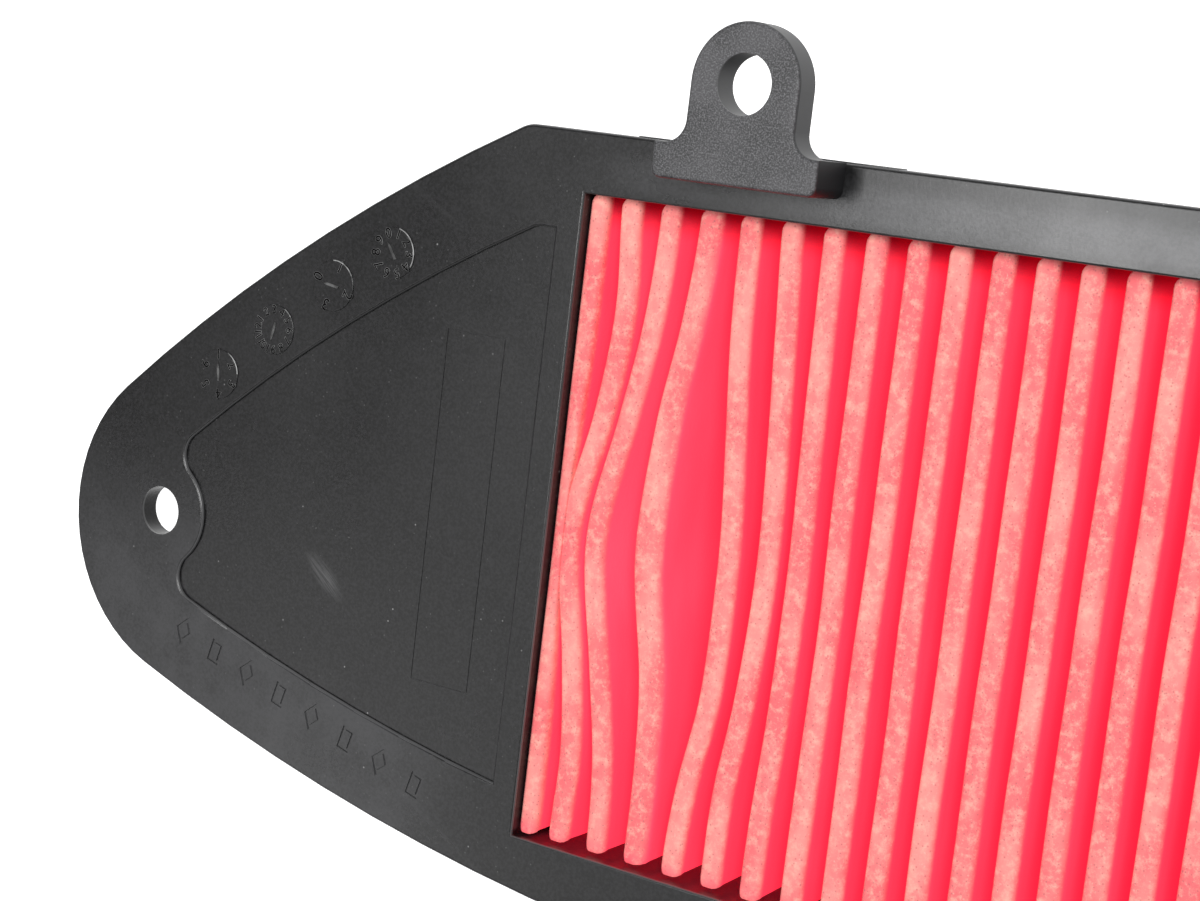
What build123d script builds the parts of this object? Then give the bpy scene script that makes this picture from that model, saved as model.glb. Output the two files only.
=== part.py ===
from build123d import *
import os

os.makedirs("parts", exist_ok=True)

# A panel air filter, lying on the rear edge of its tub with its front face up.
# X runs along the filter, Y across it towards the screw lug, Z out of the front face.

# ---- Driving dimensions, millimetres ----

# Pleated element
pleat_count = 31
pleat_pitch = 4.7
end_crest_inset = 2.0        # from the end wall to the middle of the first crest
crest_width = 2.6
foot_width = 1.9             # a pleat's width at its foot
media_thickness = 0.7
crest_depth = 1.7            # crests below the front face
media_clearance = 0.05

# Frame
opening_length = 2 * end_crest_inset + (pleat_count - 1) * pleat_pitch
opening_height = 73.0
plate_thickness = 2.5
upper_rail = 6.8
lower_rail = 7.5
frame_depth = 24.0
wall_thickness = 2.5
plate_edge_radius = 0.4

# Screw holes, pocket and moulding dials on the noses
nose_hole_radius = 3.0
hole_boss_radius = 6.9
pocket_inset = 11.0
pocket_end = -3.3            # the pocket's end, before the opening's end wall
pocket_depth = 0.5
pocket_edge_radius = 0.3
dial_radius = 3.0
dial_rise = 0.12
dial_edge_radius = 0.08
opening_edge_radius = 0.25
insert_line_places = (-16.5, -8.4, 17.3, 58.4)   # left, right, upper and lower line
insert_line_width = 0.16
insert_line_depth = 0.06
mark_count = 8               # plain lozenges and oblongs along the lower edge of the left nose
mark_first = (-51.0, 60.2)
mark_last = (-14.0, 70.6)
mark_slope = -15.7
mark_height = 3.6
mark_width = 2.6
oblong_height = 2.8
oblong_width = 1.8
mark_line = 0.4
mark_depth = 0.15
rear_rib_inset = 2.0
rear_rib_width = 1.6
rear_rib_height = 2.0
rear_rib_end = -10.0

# Screw lug, on the front of the upper rail
lug_centre = 21.65           # from the opening's left end
lug_rise = 13.5              # lug hole above the opening's upper edge
lug_radius = 6.4
lug_hole_radius = 3.2
lug_thickness = 3.43
lug_stand = 6.2              # the lug's front face above the frame's
lug_block_centre = 21.5
lug_block_width = 19.5
lug_block_foot = 3.0         # the block's lower edge above the opening
lug_block_rounding = 1.0
lug_web_fillet = 2.5
lug_edge_radius = 0.4
stake_radius = 1.2
stake_length = 1.8
stake_spacing = 11.0
root_pad_centre = 21.4
root_pad_width = 31.0
root_pad_rise = 0.12

# Seals, support grid and gaskets
bead_width = 2.5
bead_height = 1.6
grid_height = 3.0
grid_clearance = 0.15
grid_rim = 2.5
grid_bar = 1.6
grid_columns = 6
grid_rows = 3
clip_length = 6.0
clip_rise = 1.3
clip_height = 1.4
clip_level = 1.6             # middle of a clip above the tub's rear edge
window_clearance = 0.3
gasket_thickness = 3.0
rail_gasket_width = 3.0
nose_gasket_width = 3.8
gasket_corner = 2.6          # how far the nose strips reach past the tub, to close the ring

# ---- Derived places ----
opening_left = -opening_length / 2
total_height = lower_rail + opening_height + lug_rise + lug_radius
opening_bottom = -total_height / 2 + lower_rail
opening_top = opening_bottom + opening_height
opening_middle = (opening_bottom + opening_top) / 2
rail_top = opening_top + upper_rail
rail_bottom = opening_bottom - lower_rail
plate_rear = frame_depth - plate_thickness
tub_length = opening_length + 2 * wall_thickness
tub_height = opening_height + 2 * wall_thickness
media_rear = grid_height + bead_height
media_front = frame_depth - crest_depth
lug_x = opening_left + lug_centre
block_x = opening_left + lug_block_centre
block_y = rail_top - (upper_rail - lug_block_foot) / 2
lug_front = frame_depth + lug_stand
lug_rear = lug_front - lug_thickness


def at(right, down):
    """A point measured from the opening's upper left corner, right and down."""
    return (opening_left + right, opening_top - down)


# Points of the left nose, right and down from the opening's upper left corner
shoulder = (-8.3, -upper_rail)
upper_edge_middle = (-36.9, 10.0)
nose_upper_end = (-64.2, 31.7)
nose_tip = (-70.7, 46.7)
nose_lower_end = (-57.2, 65.6)
lower_edge_middle = (-21.5, 75.6)
lower_edge_end = (13.5, opening_height + lower_rail)
nose_hole = (-56.7, 46.1)
dial_places = [(-25.0, 9.9), (-33.2, 14.8), (-41.4, 21.2), (-49.3, 27.8)]
shoulder_radius = 4.0
lower_blend_radius = 60.0
pocket_corner_radius = 3.0


# The left half of the plate: two rails that run into a rounded nose
with BuildSketch() as half_outline:
    with BuildLine():
        Line((0, rail_top), at(*shoulder))
        ThreePointArc(at(*shoulder), at(*upper_edge_middle), at(*nose_upper_end))
        ThreePointArc(at(*nose_upper_end), at(*nose_tip), at(*nose_lower_end))
        ThreePointArc(at(*nose_lower_end), at(*lower_edge_middle), at(*lower_edge_end))
        Line(at(*lower_edge_end), (0, rail_bottom))
        Line((0, rail_bottom), (0, rail_top))
    make_face()
    upper_corner = half_outline.vertices().sort_by_distance(at(*shoulder))[0]
    fillet(upper_corner, shoulder_radius)
    lower_corner = half_outline.vertices().sort_by_distance(at(*lower_edge_end))[0]
    fillet(lower_corner, lower_blend_radius)

# The shallow pocket on the left nose, which leaves a boss round the screw hole
with BuildSketch() as pocket_outline:
    add(half_outline.sketch)
    offset(amount=-pocket_inset - pocket_corner_radius, mode=Mode.REPLACE)
    with Locations(at(*nose_hole)):
        Circle(hole_boss_radius + pocket_corner_radius, mode=Mode.SUBTRACT)
    offset(amount=pocket_corner_radius, mode=Mode.REPLACE)
    with Locations((opening_left + pocket_end - total_height / 2, 0)):
        Rectangle(total_height, total_height, mode=Mode.INTERSECT)

# The stiffening rib on the rear of the left nose, open towards the tub
with BuildSketch() as rib_void:
    add(half_outline.sketch)
    offset(amount=-rear_rib_inset - rear_rib_width, mode=Mode.REPLACE)
with BuildSketch() as rib_outline:
    add(half_outline.sketch)
    offset(amount=-rear_rib_inset, mode=Mode.REPLACE)
    add(rib_void.sketch, mode=Mode.SUBTRACT)
    with Locations((opening_left + rear_rib_end - total_height / 2, 0)):
        Rectangle(total_height, total_height, mode=Mode.INTERSECT)


# The line that a mould insert leaves in the pocket's floor
line_left, line_right, line_upper, line_lower = insert_line_places
with BuildSketch() as insert_line:
    with Locations(at((line_left + line_right) / 2, (line_upper + line_lower) / 2)):
        Rectangle(line_right - line_left, line_lower - line_upper)
        Rectangle(line_right - line_left - 2 * insert_line_width,
                  line_lower - line_upper - 2 * insert_line_width, mode=Mode.SUBTRACT)


def mark_places(first, step):
    """Every step-th place in the row of marks, turned to follow the lower edge."""
    places = []
    for k in range(first, mark_count, step):
        share = k / (mark_count - 1)
        right = mark_first[0] + share * (mark_last[0] - mark_first[0])
        down = mark_first[1] + share * (mark_last[1] - mark_first[1])
        places.append(Location((*at(right, down), 0), (0, 0, mark_slope)))
    return places


def lozenge(height, width):
    """Corners of a lozenge that stands on one corner."""
    return [(0, height / 2), (width / 2, 0), (0, -height / 2), (-width / 2, 0)]


# The row of generic marks, lozenges and oblongs by turns
with BuildSketch() as marks:
    with Locations(mark_places(0, 2)):
        Polygon(*lozenge(mark_height, mark_width))
        Polygon(*lozenge(mark_height - 3.6 * mark_line, mark_width - 2.6 * mark_line),
                mode=Mode.SUBTRACT)
    with Locations(mark_places(1, 2)):
        Rectangle(oblong_width, oblong_height)
        Rectangle(oblong_width - 2 * mark_line, oblong_height - 2 * mark_line,
                  mode=Mode.SUBTRACT)


def clip_centres():
    """Places of the grid's clips on the upper and lower walls."""
    third = opening_length / 3
    return [(-third, opening_middle), (0, opening_middle), (third, opening_middle)]


# ---- Front frame ----
with BuildPart() as front_frame:
    with BuildSketch(Plane.XY.offset(plate_rear)):
        add(half_outline.sketch)
        mirror(about=Plane.YZ)
    extrude(amount=plate_thickness)
    fillet(front_frame.faces().sort_by(Axis.Z)[-1].edges(), plate_edge_radius)
    with BuildSketch(Plane.XY.offset(plate_rear)):
        with Locations((opening_left + root_pad_centre, rail_top)):
            Rectangle(root_pad_width, 2 * root_pad_rise)
    extrude(amount=plate_thickness - plate_edge_radius)
    with BuildSketch(Plane.XY):
        with Locations((0, opening_middle)):
            Rectangle(tub_length, tub_height)
    extrude(amount=plate_rear)
    with BuildSketch(Plane.XY.offset(plate_rear)):
        add(rib_outline.sketch)
        mirror(about=Plane.YZ)
    extrude(amount=-rear_rib_height)
    with BuildSketch(Plane.XY):
        with Locations((0, opening_middle)):
            Rectangle(opening_length, opening_height)
    extrude(amount=frame_depth, mode=Mode.SUBTRACT)
    front_face = front_frame.faces().sort_by(Axis.Z)[-1]
    fillet(front_face.inner_wires()[0].edges(), opening_edge_radius)
    with BuildSketch(Plane.XY.offset(frame_depth)):
        add(pocket_outline.sketch)
        mirror(about=Plane.YZ)
    extrude(amount=-pocket_depth, mode=Mode.SUBTRACT)
    front_wires = front_frame.faces().sort_by(Axis.Z)[-1].inner_wires()
    for pocket_wire in front_wires.sort_by(SortBy.LENGTH)[:2]:
        fillet(pocket_wire.edges(), pocket_edge_radius)
    with BuildSketch(Plane.XY.offset(frame_depth - pocket_depth)):
        add(insert_line.sketch)
    extrude(amount=-insert_line_depth, mode=Mode.SUBTRACT)
    with BuildSketch(Plane.XY.offset(frame_depth)):
        add(marks.sketch)
    extrude(amount=-mark_depth, mode=Mode.SUBTRACT)
    with BuildSketch(Plane.XY.offset(frame_depth)):
        with Locations(at(*nose_hole)):
            Circle(nose_hole_radius)
        mirror(about=Plane.YZ)
    extrude(amount=-plate_thickness, mode=Mode.SUBTRACT)
    with BuildSketch(Plane.XY.offset(frame_depth)):
        with Locations((block_x, block_y)):
            with GridLocations(stake_spacing, 1, 2, 1):
                Circle(stake_radius)
    extrude(amount=-stake_length, mode=Mode.SUBTRACT)
    with BuildSketch(Plane.XY.offset(clip_level - clip_height / 2 - window_clearance)):
        with Locations(clip_centres()):
            Rectangle(clip_length + 2 * window_clearance, tub_height)
        with Locations((0, opening_middle)):
            Rectangle(tub_length, clip_length + 2 * window_clearance)
    extrude(amount=clip_height + 2 * window_clearance, mode=Mode.SUBTRACT)
    with BuildSketch(Plane.XY.offset(frame_depth)):
        with Locations([at(*place) for place in dial_places]):
            Circle(dial_radius)
    extrude(amount=dial_rise)
    fillet(front_frame.faces().group_by(Axis.Z)[-1].edges(), dial_edge_radius)
front_frame.part.label = "front_frame"
export_step(front_frame.part, "parts/front_frame.step")

# ---- Screw lug: a block on the rail, with a rounded ear that carries the screw hole ----
with BuildPart() as screw_lug:
    with BuildSketch(Plane.XY.offset(frame_depth)):
        with Locations((block_x, block_y)):
            Rectangle(lug_block_width, upper_rail - lug_block_foot)
    extrude(amount=lug_stand)
    foot_edges = screw_lug.edges().filter_by(Axis.Z).group_by(Axis.Y)[0]
    fillet(foot_edges, lug_block_rounding)
    with BuildSketch(Plane.XY.offset(lug_rear)) as ear:
        with Locations((lug_x, opening_top + lug_rise)):
            Circle(lug_radius)
        with Locations((lug_x, (rail_top + opening_top + lug_rise) / 2)):
            Rectangle(2 * lug_radius, lug_rise - upper_rail)
        with Locations((block_x, rail_top - lug_web_fillet / 2)):
            Rectangle(lug_block_width, lug_web_fillet)
        inner_corners = ear.vertices().filter_by_position(Axis.Y, rail_top - 0.1, rail_top + 0.1)
        fillet(inner_corners.sort_by(Axis.X)[1:3], lug_web_fillet)
    extrude(amount=lug_thickness)
    with BuildSketch(Plane.XY.offset(lug_front)):
        with Locations((lug_x, opening_top + lug_rise)):
            Circle(lug_hole_radius)
    extrude(amount=-lug_thickness, mode=Mode.SUBTRACT)
    fillet(screw_lug.faces().sort_by(Axis.Z)[-1].outer_wire().edges(), lug_edge_radius)
    with BuildSketch(Plane.XY.offset(frame_depth)):
        with Locations((block_x, block_y)):
            with GridLocations(stake_spacing, 1, 2, 1):
                Circle(stake_radius)
    extrude(amount=-stake_length)
screw_lug.part.label = "screw_lug"
export_step(screw_lug.part, "parts/screw_lug.step")


# ---- Pleated element ----
def pleat_points():
    """The folded sheet's section: its front side from left to right, then its rear side back."""
    centres = [opening_left + end_crest_inset + k * pleat_pitch for k in range(pleat_count)]
    end = opening_length / 2 - media_clearance
    front = [(-end, media_rear + media_thickness)]
    rear = [(-end, media_rear)]
    for centre in centres:
        front.append((centre - foot_width / 2, media_rear + media_thickness))
        front.append((centre - crest_width / 2, media_front))
        front.append((centre + crest_width / 2, media_front))
        front.append((centre + foot_width / 2, media_rear + media_thickness))
        rear.append((centre - foot_width / 2 + media_thickness, media_rear))
        rear.append((centre - crest_width / 2 + media_thickness, media_front - media_thickness))
        rear.append((centre + crest_width / 2 - media_thickness, media_front - media_thickness))
        rear.append((centre + foot_width / 2 - media_thickness, media_rear))
    front.append((end, media_rear + media_thickness))
    rear.append((end, media_rear))
    return front + rear[::-1]


with BuildPart() as pleated_media:
    with BuildSketch(Plane.XZ.offset(-opening_top + media_clearance)):
        with BuildLine():
            Polyline(*pleat_points(), close=True)
        make_face()
    extrude(amount=opening_height - 2 * media_clearance)
pleated_media.part.label = "pleated_media"
export_step(pleated_media.part, "parts/pleated_media.step")


# ---- Glue beads behind the element's edges ----
def write_strip(name, centre, length, height, level, thickness):
    """A straight strip of rectangular section, lying flat at a level."""
    with BuildPart() as strip:
        with BuildSketch(Plane.XY.offset(level)):
            with Locations(centre):
                Rectangle(length, height)
        extrude(amount=thickness)
    strip.part.label = name
    export_step(strip.part, "parts/" + name + ".step")


upper_bead_y = opening_top - bead_width / 2
lower_bead_y = opening_bottom + bead_width / 2
end_bead_x = (opening_length - bead_width) / 2
end_bead_height = opening_height - 2 * bead_width
write_strip("seal_top", (0, upper_bead_y), opening_length, bead_width, grid_height, bead_height)
write_strip("seal_bottom", (0, lower_bead_y), opening_length, bead_width, grid_height, bead_height)
for side, name in ((-1, "seal_left"), (1, "seal_right")):
    place = (side * end_bead_x, opening_middle)
    write_strip(name, place, bead_width, end_bead_height, grid_height, bead_height)

# ---- Support grid, clipped into windows of the tub ----
with BuildPart() as support_grid:
    grid_length = opening_length - 2 * grid_clearance
    grid_width = opening_height - 2 * grid_clearance
    with BuildSketch(Plane.XY):
        with Locations((0, opening_middle)):
            Rectangle(grid_length, grid_width)
            with GridLocations(grid_length / grid_columns, grid_width / grid_rows,
                               grid_columns, grid_rows):
                Rectangle(grid_length / grid_columns - grid_bar,
                          grid_width / grid_rows - grid_bar, mode=Mode.SUBTRACT)
    extrude(amount=grid_height)
    with BuildSketch(Plane.XY):
        with Locations((0, opening_middle)):
            Rectangle(grid_length, grid_width)
            Rectangle(grid_length - 2 * grid_rim, grid_width - 2 * grid_rim, mode=Mode.SUBTRACT)
    extrude(amount=grid_height)
    with BuildSketch(Plane.XY.offset(clip_level - clip_height / 2)):
        with Locations(clip_centres()):
            Rectangle(clip_length, grid_width + 2 * clip_rise)
            Rectangle(clip_length, grid_width - 2 * grid_rim, mode=Mode.SUBTRACT)
        with Locations((0, opening_middle)):
            Rectangle(grid_length + 2 * clip_rise, clip_length)
            Rectangle(grid_length - 2 * grid_rim, clip_length, mode=Mode.SUBTRACT)
    extrude(amount=clip_height)
support_grid.part.label = "support_grid"
export_step(support_grid.part, "parts/support_grid.step")

# ---- Foam gasket strips round the tub, on the rear of the plate ----
gasket_level = plate_rear - gasket_thickness
rail_gasket_y = (tub_height + rail_gasket_width) / 2
nose_gasket_x = (tub_length + nose_gasket_width) / 2
nose_gasket_height = tub_height + 2 * gasket_corner
for side, name in ((1, "gasket_top"), (-1, "gasket_bottom")):
    place = (0, opening_middle + side * rail_gasket_y)
    write_strip(name, place, tub_length, rail_gasket_width, gasket_level, gasket_thickness)
for side, name in ((-1, "gasket_left"), (1, "gasket_right")):
    place = (side * nose_gasket_x, opening_middle)
    write_strip(name, place, nose_gasket_width, nose_gasket_height, gasket_level, gasket_thickness)
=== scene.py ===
import bpy
import math
import random
from mathutils import Euler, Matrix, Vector


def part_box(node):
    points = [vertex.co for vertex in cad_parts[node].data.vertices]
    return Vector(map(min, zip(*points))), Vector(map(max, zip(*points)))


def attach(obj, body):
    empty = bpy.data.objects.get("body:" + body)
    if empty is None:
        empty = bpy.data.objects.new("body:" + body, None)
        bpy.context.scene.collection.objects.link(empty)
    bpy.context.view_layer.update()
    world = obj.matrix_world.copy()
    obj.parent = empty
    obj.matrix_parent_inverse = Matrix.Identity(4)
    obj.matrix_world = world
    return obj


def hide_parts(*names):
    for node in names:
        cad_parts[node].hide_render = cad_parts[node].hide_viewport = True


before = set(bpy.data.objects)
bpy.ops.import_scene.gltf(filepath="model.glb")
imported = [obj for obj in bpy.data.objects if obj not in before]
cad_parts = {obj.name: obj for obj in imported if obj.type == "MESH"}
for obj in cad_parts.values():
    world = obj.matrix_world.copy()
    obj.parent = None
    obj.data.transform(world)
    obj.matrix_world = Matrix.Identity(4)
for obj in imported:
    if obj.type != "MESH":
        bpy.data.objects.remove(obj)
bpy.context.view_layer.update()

bpy.ops.object.select_all(action="DESELECT")
chance = random.Random(11)
MM = 0.001

# ---- Places, all taken from the frame ----
DIAL_RISE = 0.12            # millimetres that the dials stand above the front face
MARK_DEPTH = 0.15           # millimetres that the lower band's marks lie below it
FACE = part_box("front_frame")[1].z - DIAL_RISE * MM
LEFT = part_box("seal_top")[0].x
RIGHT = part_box("seal_top")[1].x
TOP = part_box("seal_top")[1].y
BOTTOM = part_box("seal_bottom")[0].y
HEIGHT = TOP - BOTTOM
MEDIA_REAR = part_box("pleated_media")[0].z
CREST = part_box("pleated_media")[1].z
LUG_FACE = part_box("screw_lug")[1].z


def from_corner(right, down, up=0.0):
    """A place measured in millimetres from the opening's upper left corner, on the front face."""
    return Vector((LEFT + right * MM, TOP - down * MM, FACE + up * MM))


# ---- Small helpers for materials ----
def new_material(name, roughness, specular=0.5):
    """A material with its Principled shader, ready for nodes."""
    material = bpy.data.materials.new(name)
    material.use_nodes = True
    shader = material.node_tree.nodes["Principled BSDF"]
    shader.inputs["Roughness"].default_value = roughness
    shader.inputs["Specular IOR Level"].default_value = specular
    return material, material.node_tree, shader


def place_of_surface(tree, stretch=(1, 1, 1), turn=0.0, middle=(0, 0, 0)):
    """Object coordinates, moved, turned and stretched by one Mapping node."""
    where = tree.nodes.new("ShaderNodeTexCoord")
    mapping = tree.nodes.new("ShaderNodeMapping")
    mapping.vector_type = "TEXTURE"
    mapping.inputs["Location"].default_value = middle
    mapping.inputs["Rotation"].default_value = (0, 0, turn)
    mapping.inputs["Scale"].default_value = stretch
    tree.links.new(where.outputs["Object"], mapping.inputs["Vector"])
    return mapping.outputs["Vector"]


def noise(tree, vector, size, detail=4.0, rough=0.5):
    """A noise whose largest blotches are about size metres across."""
    node = tree.nodes.new("ShaderNodeTexNoise")
    node.inputs["Scale"].default_value = 1.0 / size
    node.inputs["Detail"].default_value = detail
    node.inputs["Roughness"].default_value = rough
    tree.links.new(vector, node.inputs["Vector"])
    return node.outputs["Fac"]


def cells(tree, vector, size):
    """Distance to the nearest of scattered points, about size metres apart."""
    node = tree.nodes.new("ShaderNodeTexVoronoi")
    node.inputs["Scale"].default_value = 1.0 / size
    tree.links.new(vector, node.inputs["Vector"])
    return node.outputs["Distance"]


def ramp(tree, value, low, high, out_low=0.0, out_high=1.0, smooth=True):
    """value taken from low..high to out_low..out_high, and held outside them."""
    node = tree.nodes.new("ShaderNodeMapRange")
    node.interpolation_type = "SMOOTHSTEP" if smooth else "LINEAR"
    for socket, number in (("From Min", low), ("From Max", high),
                           ("To Min", out_low), ("To Max", out_high)):
        node.inputs[socket].default_value = number
    tree.links.new(value, node.inputs["Value"])
    return node.outputs["Result"]


def ramp_from(tree, value, start, span, out_low=0.0, out_high=1.0):
    """The same, over a span given in millimetres from a place."""
    return ramp(tree, value, start + span[0] * MM, start + span[1] * MM, out_low, out_high)


def times(tree, first, second):
    """first multiplied by second, a socket or a number."""
    node = tree.nodes.new("ShaderNodeMath")
    node.operation = "MULTIPLY"
    tree.links.new(first, node.inputs[0])
    if isinstance(second, float):
        node.inputs[1].default_value = second
    else:
        tree.links.new(second, node.inputs[1])
    return node.outputs[0]


def plus(tree, first, second):
    """first added to second."""
    node = tree.nodes.new("ShaderNodeMath")
    node.operation = "ADD"
    tree.links.new(first, node.inputs[0])
    tree.links.new(second, node.inputs[1])
    return node.outputs[0]


def blend_colours(tree, share, first, second):
    """first where share is 0, second where it is 1; each is a colour or a socket."""
    node = tree.nodes.new("ShaderNodeMix")
    node.data_type = "RGBA"
    tree.links.new(share, node.inputs["Factor"])
    for socket, colour in ((node.inputs[6], first), (node.inputs[7], second)):
        if isinstance(colour, tuple):
            socket.default_value = (*colour, 1.0)
        else:
            tree.links.new(colour, socket)
    return node.outputs[2]


def part_of(tree, vector, axis):
    """The X, Y or Z part of a place."""
    node = tree.nodes.new("ShaderNodeSeparateXYZ")
    tree.links.new(vector, node.inputs[0])
    return node.outputs[axis]


def patch(tree, middle, turn, length, width):
    """1 at a place on the front face, fading to 0 at the rim of a long oval round it."""
    inside = place_of_surface(tree, (length / 2, width / 2, width / 2), turn, middle)
    node = tree.nodes.new("ShaderNodeVectorMath")
    node.operation = "LENGTH"
    tree.links.new(inside, node.inputs[0])
    return ramp(tree, node.outputs["Value"], 0.1, 1.0, 1.0, 0.0)


def roughen(tree, shader, height, depth):
    """Bumps the surface by height, a socket from 0 to 1, over depth metres."""
    node = tree.nodes.new("ShaderNodeBump")
    node.inputs["Distance"].default_value = depth
    tree.links.new(height, node.inputs["Height"])
    tree.links.new(node.outputs["Normal"], shader.inputs["Normal"])


# ---- Tones: linear colours, from 0 to 1 ----
FRAME_BLACK = 0.0052        # how light the frame's plastic is, on the whole
GRID_BLACK = 0.0105
# painted shade on the numbers' faces
NUMBER_SHADE = 0.0008
NUMBER_SHINE = 0.06
# painted reflection on the upper rail
RAIL_REFLECTION = (0.062, 0.062, 0.065)
# painted reflection on the lower band
BAND_REFLECTION = (0.032, 0.032, 0.034)
# painted highlight on the pocket's steps, upper and lower
UPPER_STEP_HIGHLIGHT = (0.042, 0.042, 0.043)
LOWER_STEP_HIGHLIGHT = (0.088, 0.088, 0.090)
HAIRLINE = (0.06, 0.06, 0.062)
SCUFF = (0.085, 0.085, 0.087)
LUG_SIDE = (0.004, 0.004, 0.005)
LUG_DARK = (0.014, 0.014, 0.015)
LUG_LIGHT = (0.044, 0.043, 0.046)
LUG_GRAIN = (0.100, 0.099, 0.105)
# painted glints on the lug's grain
LUG_PAINTED_GLINT = (0.24, 0.24, 0.25)
FOLD_DEEP = (1.0, 0.071, 0.115)
FOLD_PALE = (1.0, 0.096, 0.148)
# painted shadow of the upper rail on the folds, in colour and in glow
FOLD_RAIL_SHADOW = (0.50, 0.010, 0.028)
CREST_PINK = (0.80, 0.142, 0.154)
CREST_SALMON = (0.85, 0.265, 0.242)
CREAM = (0.89, 0.395, 0.322)
FIBRE = (0.91, 0.46, 0.39)
DIRT = (0.36, 0.12, 0.125)
# painted glow: emission colours for the folds, none on the crests
FOLD_PAINTED_GLOW = (1.0, 0.034, 0.106)
GLOW_RAIL_SHADOW = (0.10, 0.0, 0.006)
NO_GLOW = (0.0, 0.0, 0.0)
PAPER_PAINTED_GLOW = 0.38           # strength of the painted glow in the folds, an emission in place of the light the paper lets through and bounces
GLUE_DARK = (0.42, 0.30, 0.15)
GLUE_LIGHT = (0.60, 0.47, 0.27)
FOAM_DARK = (0.012, 0.012, 0.013)
FOAM_LIGHT = (0.045, 0.045, 0.048)
NUMBER_HIGHLIGHT = (0.04, 0.15)  # painted highlight, from the darkest to the lightest grey, as are the next two
POINTER_HIGHLIGHT = (0.025, 0.095)
RIM_HIGHLIGHT = (0.09, 0.34)
FLOOR_TONES = ((0.93, 0.93, 0.935), (0.95, 0.95, 0.955))
FLOOR_GLOW = 0.5

# ---- Where each finish begins and ends, in millimetres from an edge, up, right and out of the part ----
RAIL_UPPER = (5.6, 3.4)     # the painted reflection on the upper rail, from the opening's upper edge
RAIL_LOWER = (0.1, 1.6)
RAIL_LEFT = (-2, 12)        # half of it comes in here, from the opening's left end
RAIL_RIGHT = (24, 52)       # and the rest here
RAIL_SHARES = (0.55, 0.42)
BAND_DOWN = (-34, -58)      # the lower band's painted reflection
BAND_LEFT = (-4, -22)
BAND_LEVEL = (-0.2, -0.1)   # from the front face, so that the pocket's floor has none
STEP_LOW = (-0.40, -0.34)   # the painted highlight on the steps between the face and the pocket's floor
STEP_HIGH = (-0.03, -0.09)
STEP_HIGHLIGHT_DOWN = (-22, -44)      # lower on the part the painted highlight is lighter
LUG_FRONT = (-0.3, -0.03)   # the lug's grain, from its front face
CREST_TONE_SPAN = (-1.15, -0.22)  # the crests' paler tone, from the highest crest
END_TONE_SPAN = (0.3, 2.4)        # and from the opening's lower edge
RAIL_SHADOW_SPAN = (-0.2, -4.2)    # the painted shadow of the upper rail on the folds fades out over this, from the opening's upper edge

# ---- Sizes of patterns, in metres ----
PLASTIC_GRAIN = 0.00036
LUG_GRAIN_SIZE = 0.00019
SPECKS = ((0.0026, 0.06, 0.28), (0.0011, 0.13, 0.07))       # spacing, share of it, tone
HAIRLINES = ((0.9, (0.013, 0.0, 0.0)), (-0.5, (0.0, 0.021, 0.0)))       # turn, place
SCUFF_PLACE = (-30.6, 49.1)  # millimetres right of the opening's corner and below it
SCUFF_TURN = -0.68
SCUFF_SIZE = (0.0100, 0.0034)


# ---- Materials ----
def satin_black_plastic(name="satin_black_plastic", base=FRAME_BLACK, shine=0.5):
    """Moulded black plastic: soft haze and a fine grain."""
    material, tree, shader = new_material(name, 0.5, shine)
    here = place_of_surface(tree)
    haze = noise(tree, here, 0.03, 5.0, 0.6)
    grain = noise(tree, here, PLASTIC_GRAIN, 2.0, 0.6)
    valleys = blend_colours(tree, ramp(tree, haze, 0.3, 0.72), (base * 0.25,) * 3,
                            (base * 0.6, base * 0.6, base * 0.65))
    colour = blend_colours(tree, ramp(tree, grain, 0.32, 0.70), valleys,
                           (base * 2.3, base * 2.25, base * 2.45))
    tree.links.new(colour, shader.inputs["Base Color"])
    tree.links.new(ramp(tree, haze, 0.3, 0.7, 0.26, 0.34), shader.inputs["Roughness"])
    roughen(tree, shader, grain, 0.000008)
    return material, tree, shader, here, colour, grain


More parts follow.
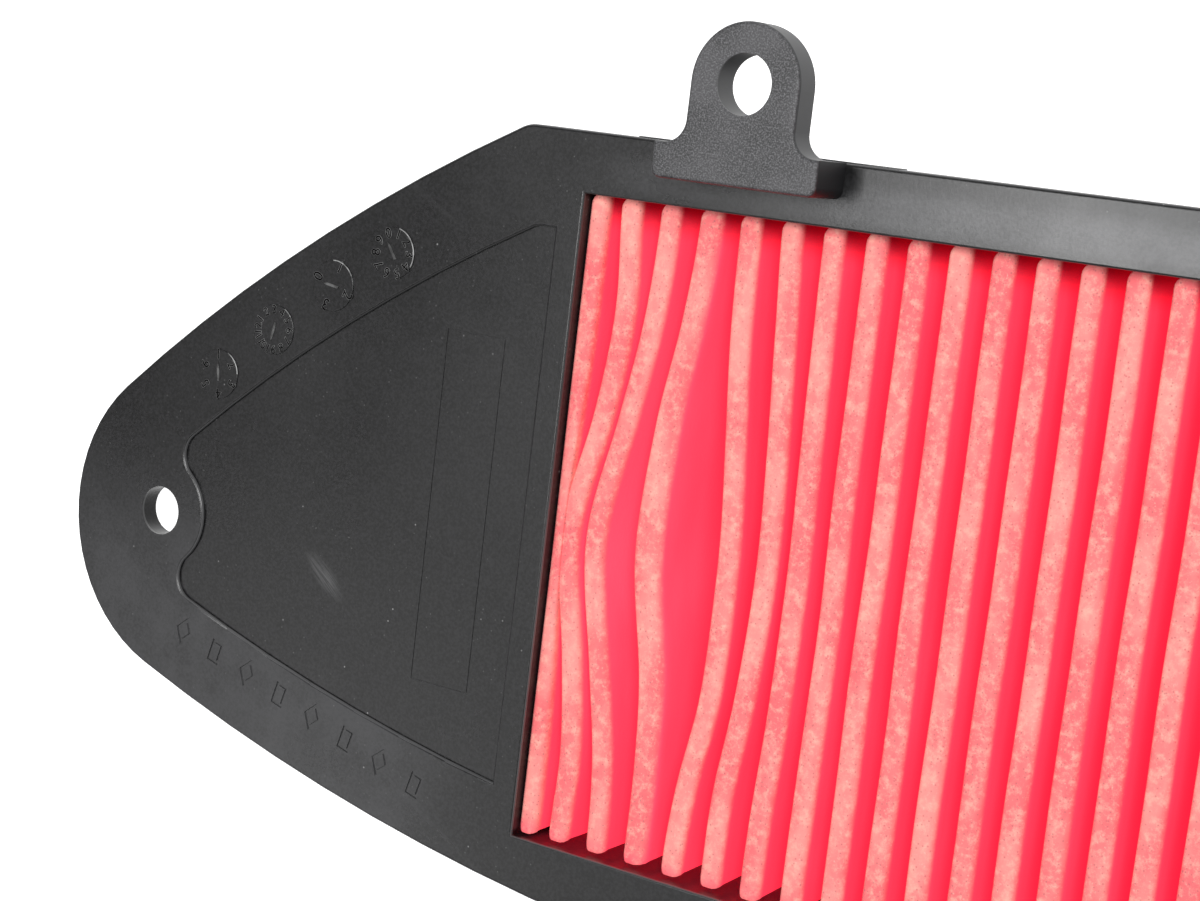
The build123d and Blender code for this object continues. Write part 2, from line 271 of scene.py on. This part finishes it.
def handled_frame_plastic():
    """The frame's plastic: cloudy painted reflections on the upper rail and lower band, painted
    highlights on the pocket's steps, dust, hairlines and a scuff.
    """
    material, tree, shader, here, colour, grain = satin_black_plastic()
    level = part_of(tree, here, "Z")
    across = part_of(tree, here, "Y")
    # painted reflection: the upper rail's lower part is lighter in cloudy patches, more so towards the
    # right
    rail = times(tree, ramp_from(tree, across, TOP, RAIL_UPPER),
                 ramp_from(tree, across, TOP, RAIL_LOWER))
    along = part_of(tree, here, "X")
    rail = times(tree, rail, plus(tree, ramp_from(tree, along, LEFT, RAIL_LEFT, 0.0, RAIL_SHARES[0]),
                                  ramp_from(tree, along, LEFT, RAIL_RIGHT, 0.0, RAIL_SHARES[1])))
    cloud = ramp(tree, noise(tree, here, 0.007, 4.0, 0.6), 0.3, 0.7, 0.45, 1.0)
    reflection_cloud = plus(tree, cloud, ramp(tree, grain, 0.3, 0.7, -0.16, 0.16))
    colour = blend_colours(tree, times(tree, rail, reflection_cloud), colour, RAIL_REFLECTION)
    # painted reflection: the lower band of the face is lighter, in the same cloudy patches
    band = times(tree, ramp_from(tree, across, TOP, BAND_DOWN),
                 ramp_from(tree, along, LEFT, BAND_LEFT))
    band = times(tree, band, ramp_from(tree, level, FACE, BAND_LEVEL))
    colour = blend_colours(tree, times(tree, band, reflection_cloud), colour, BAND_REFLECTION)
    # painted highlight: the pocket's step walls are lighter, more so lower on the part, and little in
    # the marks
    steps = times(tree, ramp_from(tree, level, FACE, STEP_LOW),
                  ramp_from(tree, level, FACE, STEP_HIGH))
    in_mark = tree.nodes.new("ShaderNodeMath")
    in_mark.operation = "COMPARE"
    in_mark.inputs[1].default_value = FACE - MARK_DEPTH * MM
    in_mark.inputs[2].default_value = 0.01 * MM
    tree.links.new(level, in_mark.inputs[0])
    steps = times(tree, steps, ramp(tree, in_mark.outputs[0], 0.0, 1.0, 1.0, 0.15, False))
    lower = ramp_from(tree, across, TOP, STEP_HIGHLIGHT_DOWN)
    step_highlight = blend_colours(tree, lower, UPPER_STEP_HIGHLIGHT, LOWER_STEP_HIGHLIGHT)
    colour = blend_colours(tree, steps, colour, step_highlight)
    patchy = ramp(tree, noise(tree, here, 0.012, 2.0), 0.40, 0.6, 0.15, 1.0)
    for spacing, size, tone in SPECKS:
        specks = ramp(tree, cells(tree, here, spacing), 0.0, size, 1.0, 0.0)
        colour = blend_colours(tree, times(tree, specks, patchy), colour, (tone,) * 3)
    for turn, place in HAIRLINES:
        thin = place_of_surface(tree, (0.03, 0.0012, 0.02), turn, place)
        hairline = ramp(tree, noise(tree, thin, 1.6, 2.0, 0.3), 0.72, 0.75, 0.0, 0.08)
        colour = blend_colours(tree, hairline, colour, HAIRLINE)
    scuff = patch(tree, from_corner(*SCUFF_PLACE), SCUFF_TURN, *SCUFF_SIZE)
    streaks = noise(tree, place_of_surface(tree, (0.004, 0.00016, 0.01), SCUFF_TURN), 1.0, 2.0, 0.6)
    rubbed = times(tree, scuff, ramp(tree, streaks, 0.35, 0.7, 0.15, 1.0))
    colour = blend_colours(tree, rubbed, colour, SCUFF)
    tree.links.new(colour, shader.inputs["Base Color"])
    return material


def grained_grey_plastic():
    """The lug's plastic: dark grey, with a coarse grain and painted glints on its front face only."""
    material, tree, shader = new_material("grained_grey_plastic", 0.5)
    here = place_of_surface(tree)
    front = ramp_from(tree, part_of(tree, here, "Z"), LUG_FACE, LUG_FRONT)
    cloud = noise(tree, here, 0.008, 4.0, 0.6)
    dark = blend_colours(tree, ramp(tree, cloud, 0.36, 0.64), LUG_DARK, LUG_LIGHT)
    grain = noise(tree, here, LUG_GRAIN_SIZE, 2.0, 0.6)
    face = blend_colours(tree, ramp(tree, grain, 0.42, 0.66), dark, LUG_GRAIN)
    # painted glints: light dots scattered over the grain
    glints = ramp(tree, cells(tree, here, 0.00044), 0.04, 0.16, 0.6, 0.0)
    face = blend_colours(tree, glints, face, LUG_PAINTED_GLINT)
    colour = blend_colours(tree, front, LUG_SIDE, face)
    tree.links.new(colour, shader.inputs["Base Color"])
    roughen(tree, shader, times(tree, grain, front), 0.00003)
    return material


def pleated_paper():
    """Oiled filter paper: deep pink red in the folds, salmon and fibrous along the crests, with a
    painted shadow of the upper rail and a painted glow in the folds.
    """
    material, tree, shader = new_material("pleated_paper", 0.85, 0.2)
    here = place_of_surface(tree)
    along = place_of_surface(tree, (1.0, 2.4, 1.0))
    fold_colour = blend_colours(tree, ramp(tree, noise(tree, along, 0.012, 3.0), 0.35, 0.65),
                        FOLD_DEEP, FOLD_PALE)
    patchy = ramp(tree, noise(tree, along, 0.0048, 3.0, 0.55), 0.36, 0.68)
    crest_colour = blend_colours(tree, patchy, CREST_PINK, CREST_SALMON)
    cream = ramp(tree, noise(tree, here, 0.0013, 5.0, 0.75), 0.44, 0.70)
    crest_colour = blend_colours(tree, times(tree, cream, 0.78), crest_colour, CREAM)
    fibres = ramp(tree, noise(tree, here, 0.00032, 2.0, 0.6), 0.60, 0.76)
    crest_colour = blend_colours(tree, times(tree, fibres, 0.42), crest_colour, FIBRE)
    dots = ramp(tree, cells(tree, here, 0.00056), 0.10, 0.27, 0.55, 0.0)
    crest_colour = blend_colours(tree, dots, crest_colour, DIRT)
    # paler salmon near the crests' height, deeper red lower in the folds, less pale towards the lower
    # end
    crest = ramp_from(tree, part_of(tree, here, "Z"), CREST, CREST_TONE_SPAN)
    across = part_of(tree, here, "Y")
    whole = ramp_from(tree, across, BOTTOM, END_TONE_SPAN, 0.6, 1.0)
    # painted shadow: the folds darken towards the opening's upper edge, where the upper rail shades them
    out_of_rail_shadow = ramp_from(tree, across, TOP, RAIL_SHADOW_SPAN)
    fold_colour = blend_colours(tree, out_of_rail_shadow, FOLD_RAIL_SHADOW, fold_colour)
    crest_share = times(tree, crest, whole)
    colour = blend_colours(tree, crest_share, fold_colour, crest_colour)
    tree.links.new(colour, shader.inputs["Base Color"])
    # painted glow: the folds emit light in place of light let through and bounced between them, the
    # crests none
    painted_glow = blend_colours(tree, out_of_rail_shadow, GLOW_RAIL_SHADOW, FOLD_PAINTED_GLOW)
    painted_glow = blend_colours(tree, crest_share, painted_glow, NO_GLOW)
    tree.links.new(painted_glow, shader.inputs["Emission Color"])
    shader.inputs["Emission Strength"].default_value = PAPER_PAINTED_GLOW
    roughen(tree, shader, noise(tree, here, 0.00035, 4.0, 0.7), 0.00004)
    return material


def amber_glue():
    """Set hot glue: waxy, slightly clear, amber."""
    material, tree, shader = new_material("amber_glue", 0.35)
    shader.inputs["Subsurface Weight"].default_value = 0.3
    shader.inputs["Subsurface Radius"].default_value = (0.002, 0.0012, 0.0006)
    here = place_of_surface(tree)
    cloud = ramp(tree, noise(tree, here, 0.006, 3.0), 0.3, 0.7)
    colour = blend_colours(tree, cloud, GLUE_DARK, GLUE_LIGHT)
    tree.links.new(colour, shader.inputs["Base Color"])
    roughen(tree, shader, noise(tree, here, 0.0016, 2.0), 0.0001)
    return material


def black_foam():
    """Closed-cell foam: matt, dark, with fine open cells on its cut faces."""
    material, tree, shader = new_material("black_foam", 0.95, 0.25)
    here = place_of_surface(tree)
    bubbles = cells(tree, here, 0.0005)
    colour = blend_colours(tree, ramp(tree, bubbles, 0.1, 0.6), FOAM_DARK, FOAM_LIGHT)
    tree.links.new(colour, shader.inputs["Base Color"])
    roughen(tree, shader, bubbles, 0.00015)
    return material


def studio_white():
    """The plain pale floor, lit through from below like a light table."""
    material, tree, shader = new_material("studio_white", 0.9, 0.1)
    here = place_of_surface(tree)
    tint = ramp(tree, noise(tree, here, 0.5, 2.0), 0.2, 0.8)
    colour = blend_colours(tree, tint, *FLOOR_TONES)
    tree.links.new(colour, shader.inputs["Base Color"])
    shader.inputs["Emission Color"].default_value = (1.0, 1.0, 1.0, 1.0)
    shader.inputs["Emission Strength"].default_value = FLOOR_GLOW
    return material


# ---- The CAD nodes that stay, with their finishes ----
def finish_node(name, material):
    """Gives a CAD node its own finish."""
    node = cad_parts[name]
    node.data.materials.clear()
    node.data.materials.append(material)


finish_node("front_frame", handled_frame_plastic())
finish_node("screw_lug", grained_grey_plastic())
finish_node("support_grid", satin_black_plastic("grid_plastic", GRID_BLACK)[0])

# ---- The pleated element, in millimetres ----
PLEATS = 31
PITCH = 4.71                # between crests, once they are even
SETTLED = 8                 # pleats before this one are spread a little
SETTLED_PLACE = 34.87       # middle of that crest, from the opening's left end
SPREAD_PITCH = 4.96         # between the crests before it
FOOT_PITCH = 4.7            # between the folds' feet on the grid
FIRST_FOOT = 2.0            # middle of the first foot, from the opening's left end
FIRST_CREST = 1.2           # and of the first crest
CREST_WIDTH = 2.55
FOOT_WIDTH = 1.9
PAPER = 0.65                # thickness
EDGE_IN = 0.06              # the sheet's two ends stand this far in from the opening's ends
UPPER_GAP = 0.07            # between a pleat's end and the frame's wall
LOWER_GAP = 0.32
LOWER_DRAFT = 0.05          # more gap for each millimetre below the crest
CORNER_ROUNDING = 0.5       # of a crest's two lower corners
LEFT_ROUNDING = 0.55        # of a crest's left long edge
RIGHT_ROUNDING = 0.85       # of its right one, the softer fold
WIDE_ROUNDING = 0.45        # more of that on the widest crest
UPPER_ROUNDING = 0.95       # length over which a crest's upper end narrows
UPPER_NARROWING = 0.45
CROWN = 0.03                # a crest's middle over its long edges
DROOP = 0.16                # of a crest's lower end
DROOP_LENGTH = 0.8
RAISED = {1: 0.40, 2: 0.15}  # crests that stand higher than the rest
FIRST = 1                   # the crest that is half hidden by the end wall
FIRST_TRIM = (0.13, 0.15, 0.9)      # narrower: left, right, right where the bulge is
WIDE = 4                    # the crest that bulges broadest, at the edge of the wide fold
WIDE_EXTRA = (0.35, 0.65)   # wider on the right: all along, where the bulge is
BULGE_MIDDLE = 38.0         # down the pleat
BULGE_REACH = 26.0
FOOT_CURVE = ((0.28, 0.0), (0.07, 0.08), (0.0, 0.3))        # out from a foot's edge, up
FLANK_SHARES = (0.14, 0.32, 0.52, 0.72, 0.88)       # of the way up a flank
FLANK_EASE = 0.35           # how much of a flank's slope is an S curve
EDGE_TURNS = (0, 30, 60, 90)        # degrees round a crest's long edge
SWAYS = ((0.10, 11.0), (0.05, 4.1))         # a crest's waves sideways: height, length
RISES = ((0.04, 13.0), (0.02, 5.0))         # and up and down
ABOUT_A_TURN = 6.28         # radians, the reach of a wave's random start
REST = -0.06                # of a crest below the highest place
STATIONS = 50               # cuts across a pleat, besides those at its ends
UPPER_STATIONS = (0.0, 0.3, 0.65)
EVEN_STATIONS = (1.05, 1.4)         # first from the upper end, last from the lower end
LOWER_STATIONS = (0.9, 0.6, 0.36, 0.17, 0.05, 0.0)
PAPER_CREASE = 50           # degrees, past which a fold is shaded as an edge

# How far each crest leans sideways, in millimetres, at five places down the pleat
BEND_PLACES = (12.0, 24.0, 38.0, 52.0, 63.0)
BENDS = {
    2: (0.7, -0.45, -3.3, -1.1, 0.2),
    3: (-0.60, -2.35, -4.65, -2.35, -0.55),
    4: (-0.85, -2.55, -3.2, -0.7, 0.0),
    5: (0.25, 1.3, 2.4, 2.2, 0.6),
    6: (0.7, 1.5, 2.15, 1.35, 0.15),
    7: (0.2, 0.6, 0.75, 0.6, 0.1),
    8: (0.0, 0.05, 0.15, 0.1, 0.0),
}


def smooth_through(places, values, where):
    """A smooth curve through values at places, flat at both ends."""
    for k in range(len(places) - 1):
        if where <= places[k + 1]:
            break
    span = places[k + 1] - places[k]
    share = (where - places[k]) / span
    slopes = []
    for j in (k, k + 1):
        if 0 < j < len(places) - 1:
            slopes.append((values[j + 1] - values[j - 1]) / (places[j + 1] - places[j - 1]))
        else:
            slopes.append(0.0)
    square, cube = share * share, share ** 3
    return ((2 * cube - 3 * square + 1) * values[k] + (cube - 2 * square + share) * span * slopes[0]
            + (3 * square - 2 * cube) * values[k + 1] + (cube - square) * span * slopes[1])


def crest_middle(pleat):
    """Where a straight crest's middle stands, from the opening's left end."""
    if pleat == FIRST:
        return FIRST_CREST
    if pleat < SETTLED:
        return SETTLED_PLACE - (SETTLED - pleat) * SPREAD_PITCH
    return SETTLED_PLACE + (pleat - SETTLED) * PITCH


def lean(pleat, down):
    """How far a pleat's crest leans sideways at a place down the pleat."""
    if pleat not in BENDS:
        return 0.0
    places = (0.0, *BEND_PLACES, HEIGHT / MM)
    return smooth_through(places, (0.0, *BENDS[pleat], 0.0), down)


def crest_edges(pleat, down):
    """How far a crest's left and right edges stand from its middle."""
    left = right = CREST_WIDTH / 2
    bulge = max(0.0, 1.0 - abs(down - BULGE_MIDDLE) / BULGE_REACH)
    bulge = bulge * bulge * (3 - 2 * bulge)
    if pleat == FIRST:
        left -= FIRST_TRIM[0]
        right -= FIRST_TRIM[1] + FIRST_TRIM[2] * bulge
    if pleat == WIDE:
        right += WIDE_EXTRA[0] + WIDE_EXTRA[1] * bulge
    near_top = max(0.0, 1.0 - down / UPPER_ROUNDING)
    left -= UPPER_NARROWING * near_top ** 2
    return left, right


def pleat_section(pleat, down, sway, rise):
    """One pleat's front side at a place down it.

    Each point is its place to the right, its height, and how far its lower end stands back.
    """
    foot = FIRST_FOOT + (pleat - 1) * FOOT_PITCH
    low = MEDIA_REAR / MM + PAPER
    high = CREST / MM + rise
    middle = crest_middle(pleat) + lean(pleat, down) + sway
    left, right = crest_edges(pleat, down)
    soft = RIGHT_ROUNDING + (WIDE_ROUNDING if pleat == WIDE else 0.0)
    section = []
    for side, reach, round_off in ((-1, left, LEFT_ROUNDING), (1, right, min(soft, right * 0.8))):
        base = foot + side * FOOT_WIDTH / 2
        edge = middle + side * reach
        line = [(base + side * out, low + up, CORNER_ROUNDING) for out, up in FOOT_CURVE]
        for share in FLANK_SHARES:
            curve = share * share * (3 - 2 * share)
            eased = curve * FLANK_EASE + share * (1 - FLANK_EASE)
            line.append((base + (edge - base) * eased, low + (high - low) * share,
                         CORNER_ROUNDING))
        for turn in EDGE_TURNS:
            angle = math.radians(turn)
            line.append((edge - side * round_off * (1 - math.cos(angle)),
                         high - round_off * (1 - math.sin(angle)),
                         CORNER_ROUNDING * (1 - math.sin(angle)) ** 0.7))
        section += line if side < 0 else line[::-1]
    section.insert(len(section) // 2, (middle + (right - left) / 2, high + CROWN, 0.0))
    return section


def station_places():
    """Places down a pleat, in millimetres, closer together near its ends."""
    long_way = HEIGHT / MM
    first, last = EVEN_STATIONS[0], long_way - EVEN_STATIONS[1]
    places = list(UPPER_STATIONS)
    places += [first + (last - first) * k / STATIONS for k in range(STATIONS + 1)]
    places += [long_way - left for left in LOWER_STATIONS]
    return places


def waves(kinds, phases, down):
    """The sum of two sine waves at a place down a pleat."""
    return sum(height * math.sin(down / length + phase)
               for (height, length), phase in zip(kinds, phases))


def fold_element():
    """The element: one sheet folded into pleats, some pushed aside near the left end."""
    high = CREST / MM
    long_way = HEIGHT / MM
    upper_end = TOP / MM - UPPER_GAP
    phases = [[chance.uniform(0, ABOUT_A_TURN) for _ in range(4)] for _ in range(PLEATS + 1)]
    rows = []
    for down in station_places():
        share = down / long_way
        near_end = max(0.0, 1.0 - (long_way - down) / DROOP_LENGTH)
        row = [(EDGE_IN, MEDIA_REAR / MM + PAPER, CORNER_ROUNDING)]
        for pleat in range(1, PLEATS + 1):
            sway = math.sin(math.pi * share) * waves(SWAYS, phases[pleat][:2], down)
            rise = waves(RISES, phases[pleat][2:], down) + REST + RAISED.get(pleat, 0.0)
            if pleat == FIRST:
                sway = 0.0
            row += pleat_section(pleat, down, sway, rise - DROOP * near_end ** 2)
        row.append(((RIGHT - LEFT) / MM - EDGE_IN, MEDIA_REAR / MM + PAPER, CORNER_ROUNDING))
        points = []
        for right, height, back in row:
            lower_end = BOTTOM / MM + LOWER_GAP + back + LOWER_DRAFT * (high - height)
            y = upper_end - share * (upper_end - lower_end)
            points.append((LEFT + right * MM, y * MM, height * MM))
        rows.append(points)
    wide = len(rows[0])
    corners = [point for row in rows for point in row]
    faces = []
    for j in range(len(rows) - 1):
        for i in range(wide - 1):
            first = j * wide + i
            faces.append((first, first + wide, first + wide + 1, first + 1))
    mesh = bpy.data.meshes.new("pleated_element")
    mesh.from_pydata(corners, [], faces)
    element = bpy.data.objects.new("pleated_element", mesh)
    bpy.context.scene.collection.objects.link(element)
    length = sum((Vector(a) - Vector(b)).length for a, b in zip(rows[0][1:], rows[0][:-1]))
    solid = element.modifiers.new("paper", "SOLIDIFY")
    solid.thickness = PAPER * MM
    solid.offset = -1
    solid.use_even_offset = True
    bpy.context.view_layer.objects.active = element
    element.select_set(True)
    bpy.ops.object.modifier_apply(modifier="paper")
    bpy.ops.object.shade_smooth_by_angle(angle=math.radians(PAPER_CREASE))
    element.select_set(False)
    element.data.materials.append(pleated_paper())
    return element, length


element, unfolded = fold_element()
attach(element, "root")
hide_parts("pleated_media")


# ---- Glue beads and foam strips, in place of their plain CAD bars, in metres ----
GLUE_SHAPE = (0.0006, 0.0002, 0.006)        # rounding, height of its waves, their length
FOAM_SHAPE = (0.0004, 0.00015, 0.004)
STRIP_STEP = 0.0016         # between the cuts across a strip
STRIP_CREASE = 60           # degrees, past which it is shaded as an edge


def soft_strip(name, node, rounding, wave, wave_size, material):
    """A strip with rounded edges and a slightly uneven surface, in its CAD node's box."""
    low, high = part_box(node)
    shrink = Vector((wave, wave, wave)) * 0.5
    size = high - low - 2 * shrink
    bpy.ops.mesh.primitive_cube_add(size=1, location=(low + high) / 2)
    strip = bpy.context.active_object
    strip.name = name
    strip.scale = size
    bpy.ops.object.transform_apply(location=True, rotation=False, scale=True)
    bpy.ops.object.mode_set(mode="EDIT")
    bpy.ops.mesh.select_all(action="SELECT")
    bpy.ops.mesh.bevel(offset=rounding, segments=3, affect="EDGES")
    bpy.ops.mesh.select_all(action="DESELECT")
    bpy.ops.object.mode_set(mode="OBJECT")
    axis = 0 if size.x > size.y else 1
    cuts = int(size[axis] / STRIP_STEP)
    for cut in range(1, cuts):
        bpy.ops.object.mode_set(mode="EDIT")
        bpy.ops.mesh.select_all(action="SELECT")
        place = [0.0, 0.0, 0.0]
        place[axis] = low[axis] + size[axis] * cut / cuts
        normal = [0.0, 0.0, 0.0]
        normal[axis] = 1.0
        bpy.ops.mesh.bisect(plane_co=place, plane_no=normal)
        bpy.ops.object.mode_set(mode="OBJECT")
    texture = bpy.data.textures.new(name + "_waves", "CLOUDS")
    texture.noise_scale = wave_size
    swell = strip.modifiers.new("waves", "DISPLACE")
    swell.texture = texture
    swell.texture_coords = "LOCAL"
    swell.strength = wave
    bpy.ops.object.modifier_apply(modifier="waves")
    bpy.ops.object.shade_smooth_by_angle(angle=math.radians(STRIP_CREASE))
    strip.data.materials.append(material)
    strip.select_set(False)
    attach(strip, "root")
    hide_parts(node)
    return strip


glue = amber_glue()
foam = black_foam()
for side in ("top", "bottom", "left", "right"):
    bead = soft_strip("glue_bead_" + side, "seal_" + side, *GLUE_SHAPE, glue)
    strip = soft_strip("foam_strip_" + side, "gasket_" + side, *FOAM_SHAPE, foam)

# ---- Numbers, pointers and edges of the moulding dials ----
DIAL_RADIUS = 3.0           # millimetres, as are the next three
NUMBER_REACH = 2.35         # from a dial's middle to the middle of a number
RIM_LINE = 0.07             # half the width of the painted highlight line on a rim
RIM_IN = 0.03               # that line's middle, in from the rim
RIM_STEPS = 24
NUMBER_GROWTH = 0.00002     # metres, as are the sizes that follow
NUMBER_RISE = 0.00002
OUTLINE = 0.00003           # half the thickness of the painted highlight line round a number
POINTER_SIZE = (0.0017, 0.00034, 0.00024)
POINTER_TIP = 0.0006        # length of the tapered end
POINTER_TAPER = 0.15        # its width at the end, as a share
POINTER_ROUNDING = 0.00006
# A dial's middle, its numbers clockwise, the angles of the first one and of the pointer, the numbers'
# size, and where its rim carries a painted highlight; lengths in millimetres, angles in degrees
DIALS = {
    "dial_day": ((-25.0, 9.9), range(10), 112, 125, 1.75, (-25, 78)),
    "dial_year": ((-33.2, 14.8), range(4), 160, 173, 2.0, (30, 95)),
    "dial_month": ((-41.4, 21.2), range(1, 13), 155, 258, 1.5, (38, 62)),
    "dial_shift": ((-49.3, 27.8), range(1, 7), 97, 100, 1.75, (8, 66)),
}


def rubbed_plastic(name, dark, light):
    """Black plastic painted grey as a highlight, in blotches from dark to light."""
    material, tree, shader = new_material(name, 0.35)
    here = place_of_surface(tree)
    blotches = ramp(tree, noise(tree, here, 0.0012, 3.0), 0.35, 0.65)
    colour = blend_colours(tree, blotches, (dark,) * 3, (light,) * 3)
    tree.links.new(colour, shader.inputs["Base Color"])
    roughen(tree, shader, noise(tree, here, 0.0003, 2.0), 0.00001)
    return material


# painted shade: the numbers' faces are darker and less shiny than the dial's plastic
number_shade_plastic = satin_black_plastic("number_shade_plastic", NUMBER_SHADE, NUMBER_SHINE)[0]
# painted highlight: a grey line round each number
number_outline_highlight = rubbed_plastic("number_outline_highlight", *NUMBER_HIGHLIGHT)
# painted highlight: the pointers are grey, lighter than the dial's plastic
pointer_highlight_plastic = rubbed_plastic("pointer_highlight_plastic", *POINTER_HIGHLIGHT)
# painted highlight: a light arc along part of each dial's rim
rim_highlight_plastic = rubbed_plastic("rim_highlight_plastic", *RIM_HIGHLIGHT)


def number_part(text, place, turn, size, outline):
    """A number as a mesh on a dial: its face in painted shade, or the painted highlight line round it.
    """
    bpy.ops.object.text_add(location=(0, 0, 0))
    number = bpy.context.active_object
    number.data.body = text
    number.data.size = size
    number.data.align_x = "CENTER"
    number.data.align_y = "CENTER"
    number.data.resolution_u = 3
    number.data.offset = NUMBER_GROWTH
    if outline:
        number.data.fill_mode = "NONE"
        number.data.bevel_depth = OUTLINE
        number.data.bevel_resolution = 1
    else:
        number.data.extrude = NUMBER_RISE
    bpy.ops.object.convert(target="MESH")
    number.rotation_euler = (0, 0, turn)
    number.location = place
    bpy.ops.object.transform_apply(location=True, rotation=True, scale=False)
    number.data.materials.clear()
    number.data.materials.append(number_outline_highlight if outline else number_shade_plastic)
    return number


def pointer(place, turn):
    """A dial's pointer: a raised bar with rounded edges and a tapered end."""
    bpy.ops.mesh.primitive_cube_add(size=1, location=(0, 0, 0))
    bar = bpy.context.active_object
    bar.scale = POINTER_SIZE
    bpy.ops.object.transform_apply(location=False, rotation=False, scale=True)
    bpy.ops.object.mode_set(mode="EDIT")
    bpy.ops.mesh.select_all(action="DESELECT")
    bpy.ops.object.mode_set(mode="OBJECT")
    for face in bar.data.polygons:
        face.select = face.normal.x > 0.9
    bpy.ops.object.mode_set(mode="EDIT")
    bpy.ops.mesh.extrude_region_move(TRANSFORM_OT_translate={"value": (POINTER_TIP, 0, 0)})
    bpy.ops.transform.resize(value=(1, POINTER_TAPER, 1))
    bpy.ops.mesh.select_all(action="SELECT")
    bpy.ops.mesh.bevel(offset=POINTER_ROUNDING, segments=2, affect="EDGES")
    bpy.ops.object.mode_set(mode="OBJECT")
    bar.rotation_euler = (0, 0, turn)
    bar.location = place
    bpy.ops.object.transform_apply(location=True, rotation=True, scale=False)
    bar.data.materials.append(pointer_highlight_plastic)
    return bar


def worn_edge(place, first, last):
    """A thin painted highlight line along part of a dial's rim."""
    start = Vector((math.cos(math.radians(first)), math.sin(math.radians(first)), 0))
    bpy.ops.mesh.primitive_circle_add(vertices=8, radius=RIM_LINE * MM, fill_type="NGON",
                                      location=place + start * (DIAL_RADIUS - RIM_IN) * MM,
                                      rotation=(math.pi / 2, 0, math.radians(first)))
    line = bpy.context.active_object
    bpy.ops.object.transform_apply(location=True, rotation=True, scale=False)
    bpy.ops.object.mode_set(mode="EDIT")
    bpy.ops.mesh.select_all(action="SELECT")
    bpy.ops.mesh.spin(steps=RIM_STEPS, angle=math.radians(first - last), center=place,
                      axis=(0, 0, 1))
    bpy.ops.mesh.select_all(action="SELECT")
    bpy.ops.mesh.normals_make_consistent(inside=False)
    bpy.ops.object.mode_set(mode="OBJECT")
    line.data.materials.append(rim_highlight_plastic)
    return line


def build_dial(name, centre, numbers, first, pointing, size, step_highlight):
    """One dial's numbers round its edge, its pointer and the painted highlight on its rim, as one mesh.
    """
    middle = from_corner(*centre, DIAL_RISE)
    pieces = [pointer(middle, math.radians(pointing)), worn_edge(middle, *step_highlight)]
    for k, number in enumerate(numbers):
        angle = math.radians(first - 360 * k / len(numbers))
        place = middle + Vector((math.cos(angle), math.sin(angle), 0)) * NUMBER_REACH * MM
        for outline in (False, True):
            pieces.append(number_part(str(number), place, angle - math.pi / 2, size * MM, outline))
    bpy.ops.object.select_all(action="DESELECT")
    for piece in pieces:
        piece.select_set(True)
    bpy.context.view_layer.objects.active = pieces[0]
    bpy.ops.object.join()
    dial = pieces[0]
    dial.name = name
    dial.select_set(False)
    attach(dial, "root")


for name, details in DIALS.items():
    build_dial(name, *details)

# ---- Floor, lights and camera ----
FLOOR_SIZE = 6
ROOM_LIGHT = 0.30
LAMPS = {                    # place, what it faces, width, depth, watts
    "key_box": ((0.45, 0.40, 0.93), (0, 0, 0.02), 0.5, 0.5, 10.2),
    "overhead_box": ((-0.28, 0.06, 0.9), (-0.28, 0.06, 0.02), 0.26, 0.36, 3.8),
    "lower_box": ((-0.80, -0.46, 0.9), (-0.09, -0.03, 0.02), 0.45, 0.35, 0.85),
}
CAMERA_PLACE = (145.68, -10.52, 226.43)     # millimetres right of the opening's corner, below, above
CAMERA_TURN = (-3.951, 32.403, 7.882)       # degrees
CAMERA_LENS = 73.64         # millimetres
CAMERA_SENSOR = 36

bpy.ops.mesh.primitive_plane_add(size=FLOOR_SIZE, location=(0, 0, 0))
floor = bpy.context.active_object
floor.name = "floor"
floor.data.materials.append(studio_white())
floor.select_set(False)


def softbox(name, place, aim, width, depth, power):
    """A large soft lamp that faces a point."""
    lamp = bpy.data.lights.new(name, "AREA")
    lamp.shape = "RECTANGLE"
    lamp.size = width
    lamp.size_y = depth
    lamp.energy = power
    holder = bpy.data.objects.new(name, lamp)
    holder.location = place
    holder.rotation_euler = (Vector(aim) - Vector(place)).to_track_quat("-Z", "Y").to_euler()
    bpy.context.scene.collection.objects.link(holder)


for name, details in LAMPS.items():
    softbox(name, *details)

world = bpy.data.worlds.new("white_room")
world.use_nodes = True
world.node_tree.nodes["Background"].inputs["Color"].default_value = (1.0, 1.0, 1.0, 1.0)
world.node_tree.nodes["Background"].inputs["Strength"].default_value = ROOM_LIGHT
bpy.context.scene.world = world
bpy.context.scene.view_settings.view_transform = "Standard"

camera = bpy.data.cameras.new("camera")
camera.sensor_width = CAMERA_SENSOR
camera.lens = CAMERA_LENS
camera.clip_start = 0.01
viewer = bpy.data.objects.new("camera", camera)
viewer.location = from_corner(*CAMERA_PLACE)
viewer.rotation_euler = Euler([math.radians(turn) for turn in CAMERA_TURN], "XYZ")
bpy.context.scene.collection.objects.link(viewer)
bpy.context.scene.camera = viewer
